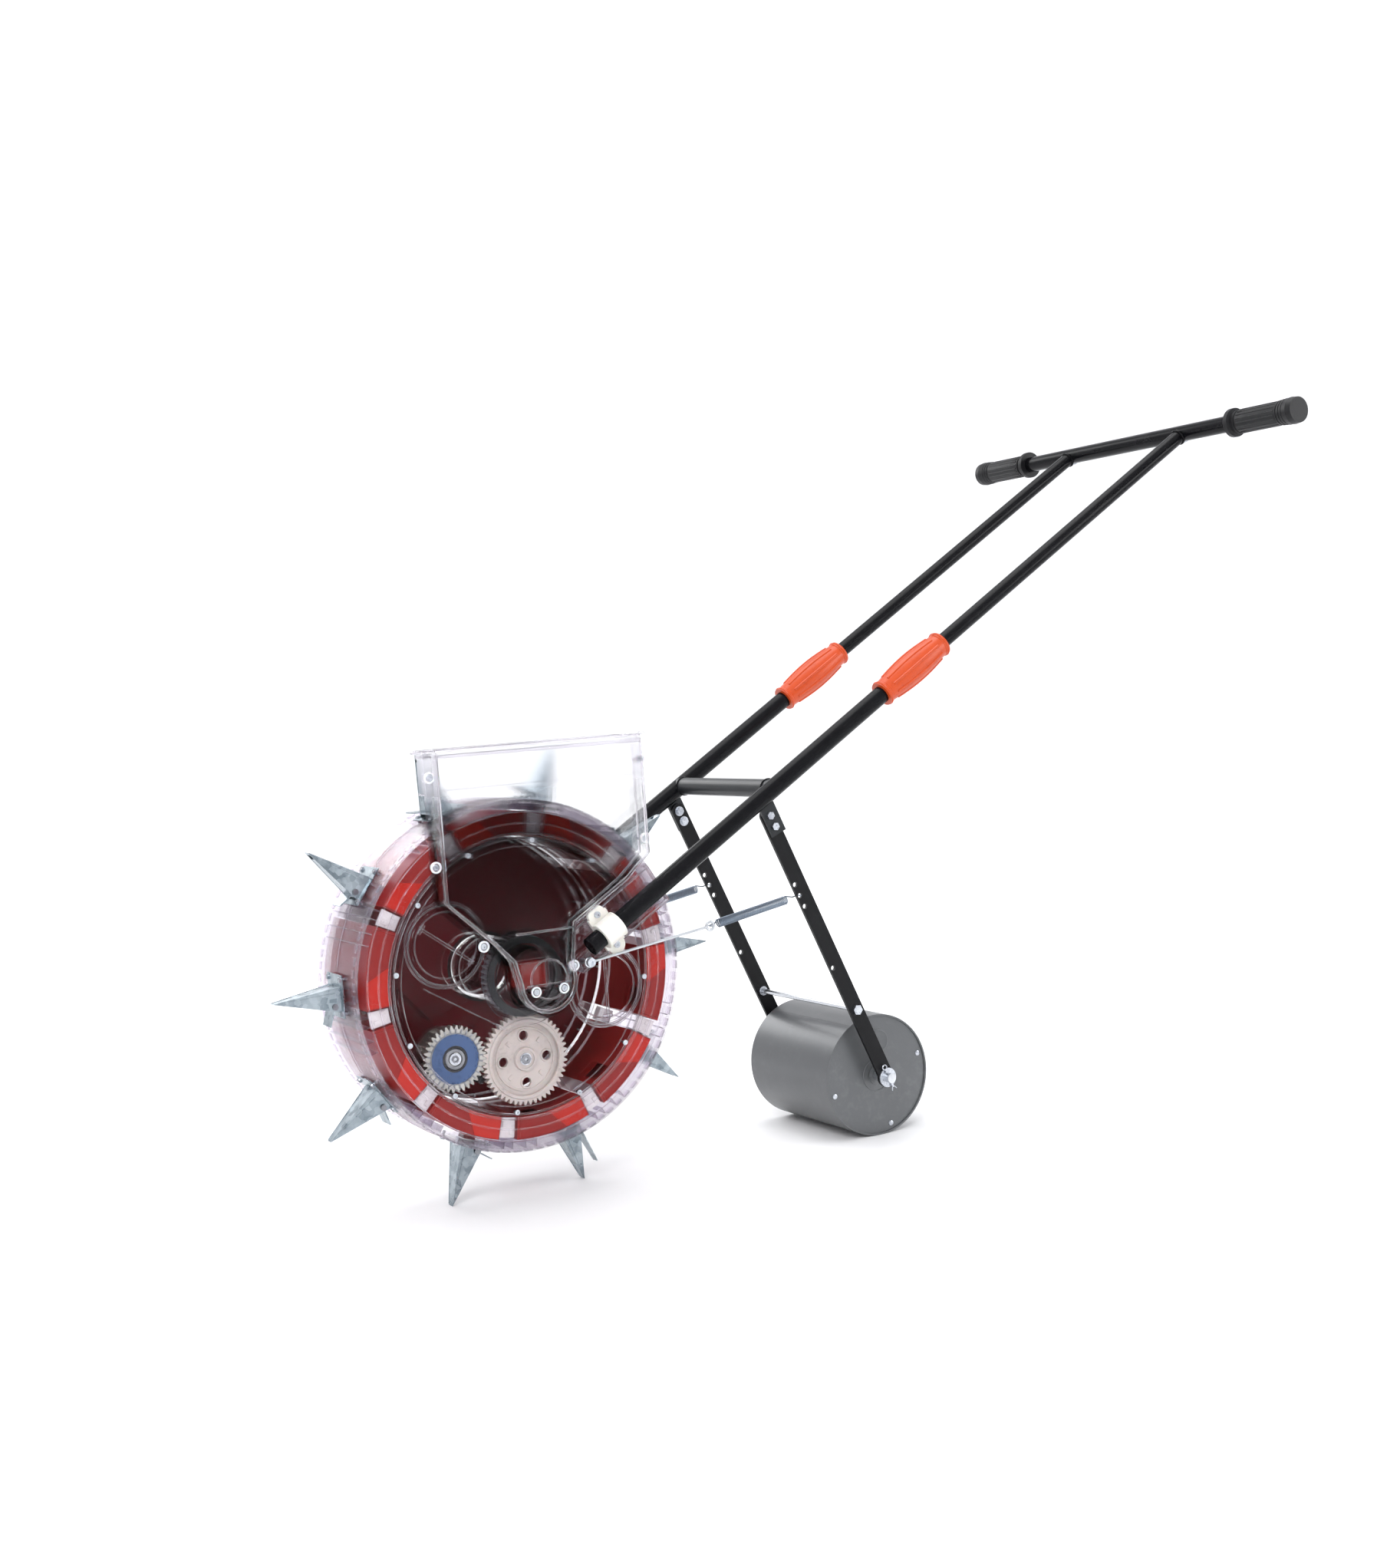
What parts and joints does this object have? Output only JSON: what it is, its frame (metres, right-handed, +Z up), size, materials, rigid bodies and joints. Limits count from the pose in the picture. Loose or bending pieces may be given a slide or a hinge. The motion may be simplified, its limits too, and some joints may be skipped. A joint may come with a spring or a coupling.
{
  "type": "rolling punch seeder",
  "caption": "Hand-pushed rolling seeder: clear drum with hinged beaks, seed hopper, metering roller, twist-lock handle and a sprung press roller.",
  "frame": {"origin": "centre of the bounding box on the floor", "axes": "-X the way it is pushed, the handle leads to +X; +Z up; -Y the side with the hopper"},
  "size_m": [1.3069, 0.632, 0.8901],
  "materials": {
    "clear_hub": "clear polycarbonate",
    "bracket_clear": "clear polycarbonate",
    "clamp_white": "moulded white",
    "zinc_screws": "zinc plated",
    "hopper_clear": "clear polycarbonate",
    "lid_clear": "clear polycarbonate",
    "meter_clear": "clear polycarbonate",
    "brush_black": "bristle",
    "tube_black": "gloss powder coat",
    "cross_grey": "satin powder coat",
    "arm_black": "gloss powder coat",
    "rod_zinc": "zinc plated",
    "drum_clear": "clear polycarbonate",
    "cover_red": "tinted dark red",
    "gear_grey": "moulded grey",
    "seal_black": "moulded",
    "chamber_red": "translucent red",
    "beak_zinc": "galvanised",
    "pin_steel": "plated steel",
    "gear_white": "translucent white",
    "roller_silver": "machined",
    "ring_blue": "moulded blue",
    "cap_clear": "clear polycarbonate",
    "grip_black": "moulded",
    "sleeve_orange": "moulded orange red",
    "collet_white": "moulded white",
    "spring_steel": "wound wire",
    "roller_grey": "grey paint"
  },
  "bodies": {
    "frame": {"hub_tube": "clear_hub", "side_bracket_near": "bracket_clear", "side_bracket_far": "bracket_clear", "tube_clamps": "clamp_white", "frame_screws": "zinc_screws", "hopper_front": "hopper_clear", "hopper_back": "hopper_clear", "hopper_screws": "zinc_screws", "meter_plate": "meter_clear", "seed_trough": "meter_clear", "brush": "brush_black", "gear_pins": "zinc_screws", "lower_tube_near": "tube_black", "lower_tube_far": "tube_black", "cross_tube": "cross_grey", "arm_lugs": "cross_grey", "pull_rods": "rod_zinc", "lock_collets": "collet_white", "press_springs": "spring_steel"},
    "drum": {"drum_shell_near": "drum_clear", "drum_shell_far": "drum_clear", "drum_cover_near": "drum_clear", "drum_cover_far": "cover_red", "drum_screws": "zinc_screws", "sun_gear": "gear_grey", "hub_seals": "seal_black", "seed_chambers": "chamber_red", "beaks": "beak_zinc", "jaw_pins": "pin_steel", "jaw_springs": "pin_steel"},
    "idler": {"idler_gear": "gear_white"},
    "metering_roller": {"seed_roller": "roller_silver", "roller_rim": "ring_blue"},
    "front_cap": {"port_cap_front": "cap_clear"},
    "rear_cap": {"port_cap_rear": "cap_clear"},
    "lid": {"hopper_lid": "lid_clear"},
    "upper_handle": {"upper_tube_near": "tube_black", "upper_tube_far": "tube_black", "handlebar": "tube_black", "grips": "grip_black"},
    "near_sleeve": {"sleeve_near": "sleeve_orange"},
    "far_sleeve": {"sleeve_far": "sleeve_orange"},
    "press_arms": {"arm_near": "arm_black", "arm_far": "arm_black", "arm_bolts": "zinc_screws", "tie_rod": "rod_zinc", "roller_axle": "rod_zinc"},
    "press_roller": {"roller_barrel": "roller_grey", "roller_ends": "roller_grey"},
    "jaw_body_1": {"jaw_1": "beak_zinc"},
    "jaw_body_2": {"jaw_2": "beak_zinc"},
    "jaw_body_3": {"jaw_3": "beak_zinc"},
    "jaw_body_4": {"jaw_4": "beak_zinc"},
    "jaw_body_5": {"jaw_5": "beak_zinc"},
    "jaw_body_6": {"jaw_6": "beak_zinc"},
    "jaw_body_7": {"jaw_7": "beak_zinc"},
    "jaw_body_8": {"jaw_8": "beak_zinc"},
    "jaw_body_9": {"jaw_9": "beak_zinc"},
    "jaw_body_10": {"jaw_10": "beak_zinc"}
  },
  "joints": [
    {"name": "drum_spin", "type": "hinge", "parent": "frame", "child": "drum", "pos_m": [-0.37895, 0, 0.26106], "axis": [0, 1, 0], "continuous": true},
    {"name": "idler_spin", "type": "hinge", "parent": "frame", "child": "idler", "pos_m": [-0.38147, 0, 0.1651], "axis": [0, 1, 0], "continuous": true},
    {"name": "metering_spin", "type": "hinge", "parent": "frame", "child": "metering_roller", "pos_m": [-0.4674, 0, 0.17871], "axis": [0, 1, 0], "continuous": true},
    {"name": "jaw_1_hinge", "type": "hinge", "parent": "drum", "child": "jaw_body_1", "pos_m": [-0.55368, 0, 0.37444], "axis": [0, -1, 0], "range_deg": [0, 20], "stiffness_Nm_per_rad": 0.3, "springref_deg": -20.05},
    {"name": "jaw_2_hinge", "type": "hinge", "parent": "drum", "child": "jaw_body_2", "pos_m": [-0.58696, 0, 0.25009], "axis": [0, -1, 0], "range_deg": [0, 20], "stiffness_Nm_per_rad": 0.3, "springref_deg": -20.05},
    {"name": "jaw_3_hinge", "type": "hinge", "parent": "drum", "child": "jaw_body_3", "pos_m": [-0.54078, 0, 0.12992], "axis": [0, -1, 0], "range_deg": [0, 20], "stiffness_Nm_per_rad": 0.3, "springref_deg": -20.05},
    {"name": "jaw_4_hinge", "type": "hinge", "parent": "drum", "child": "jaw_body_4", "pos_m": [-0.43279, 0, 0.05985], "axis": [0, -1, 0], "range_deg": [0, 20], "stiffness_Nm_per_rad": 0.3, "springref_deg": -20.05},
    {"name": "jaw_5_hinge", "type": "hinge", "parent": "drum", "child": "jaw_body_5", "pos_m": [-0.30424, 0, 0.06664], "axis": [0, -1, 0], "range_deg": [-22, 0]},
    {"name": "jaw_6_hinge", "type": "hinge", "parent": "drum", "child": "jaw_body_6", "pos_m": [-0.20423, 0, 0.14769], "axis": [0, -1, 0], "range_deg": [0, 20], "stiffness_Nm_per_rad": 0.3, "springref_deg": -20.05},
    {"name": "jaw_7_hinge", "type": "hinge", "parent": "drum", "child": "jaw_body_7", "pos_m": [-0.17095, 0, 0.27204], "axis": [0, -1, 0], "range_deg": [0, 20], "stiffness_Nm_per_rad": 0.3, "springref_deg": -20.05},
    {"name": "jaw_8_hinge", "type": "hinge", "parent": "drum", "child": "jaw_body_8", "pos_m": [-0.21713, 0, 0.39221], "axis": [0, -1, 0], "range_deg": [0, 20], "stiffness_Nm_per_rad": 0.3, "springref_deg": -20.05},
    {"name": "jaw_9_hinge", "type": "hinge", "parent": "drum", "child": "jaw_body_9", "pos_m": [-0.32512, 0, 0.46228], "axis": [0, -1, 0], "range_deg": [0, 20], "stiffness_Nm_per_rad": 0.3, "springref_deg": -20.05},
    {"name": "jaw_10_hinge", "type": "hinge", "parent": "drum", "child": "jaw_body_10", "pos_m": [-0.45367, 0, 0.45549], "axis": [0, -1, 0], "range_deg": [0, 20], "stiffness_Nm_per_rad": 0.3, "springref_deg": -20.05},
    {"name": "front_cap_turn", "type": "hinge", "parent": "drum", "child": "front_cap", "pos_m": [-0.47162, -0.06, 0.30828], "axis": [0, -1, 0], "range_deg": [0, 60]},
    {"name": "rear_cap_turn", "type": "hinge", "parent": "drum", "child": "rear_cap", "pos_m": [-0.27804, -0.06, 0.23591], "axis": [0, -1, 0], "range_deg": [0, 60]},
    {"name": "lid_hinge", "type": "hinge", "parent": "frame", "child": "lid", "pos_m": [-0.23846, -0.1, 0.52456], "axis": [0, 1, 0], "range_deg": [0, 110]},
    {"name": "handle_slide", "type": "slide", "parent": "frame", "child": "upper_handle", "axis": [0.8536, 0, 0.521], "range_m": [-0.2, 0.1]},
    {"name": "near_sleeve_twist", "type": "hinge", "parent": "frame", "child": "near_sleeve", "pos_m": [0.1522, -0.1118, 0.57672], "axis": [0.8536, 0, 0.521], "range_deg": [0, 90]},
    {"name": "far_sleeve_twist", "type": "hinge", "parent": "frame", "child": "far_sleeve", "pos_m": [0.1522, 0.1118, 0.57672], "axis": [0.8536, 0, 0.521], "range_deg": [0, 90]},
    {"name": "press_swing", "type": "hinge", "parent": "frame", "child": "press_arms", "pos_m": [-0.06796, 0, 0.41557], "axis": [0, -1, 0], "range_deg": [-7, 11], "stiffness_Nm_per_rad": 60, "springref_deg": -2.86, "deforming": ["press_springs"]},
    {"name": "press_roller_spin", "type": "hinge", "parent": "press_arms", "child": "press_roller", "pos_m": [0.07982, 0, 0.0757], "axis": [0, 1, 0], "continuous": true}
  ],
  "couplings": [
    {"joint": "idler_spin", "follows": "drum_spin", "ratio": -0.88235},
    {"joint": "metering_spin", "follows": "drum_spin", "ratio": 1.25}
  ]
}
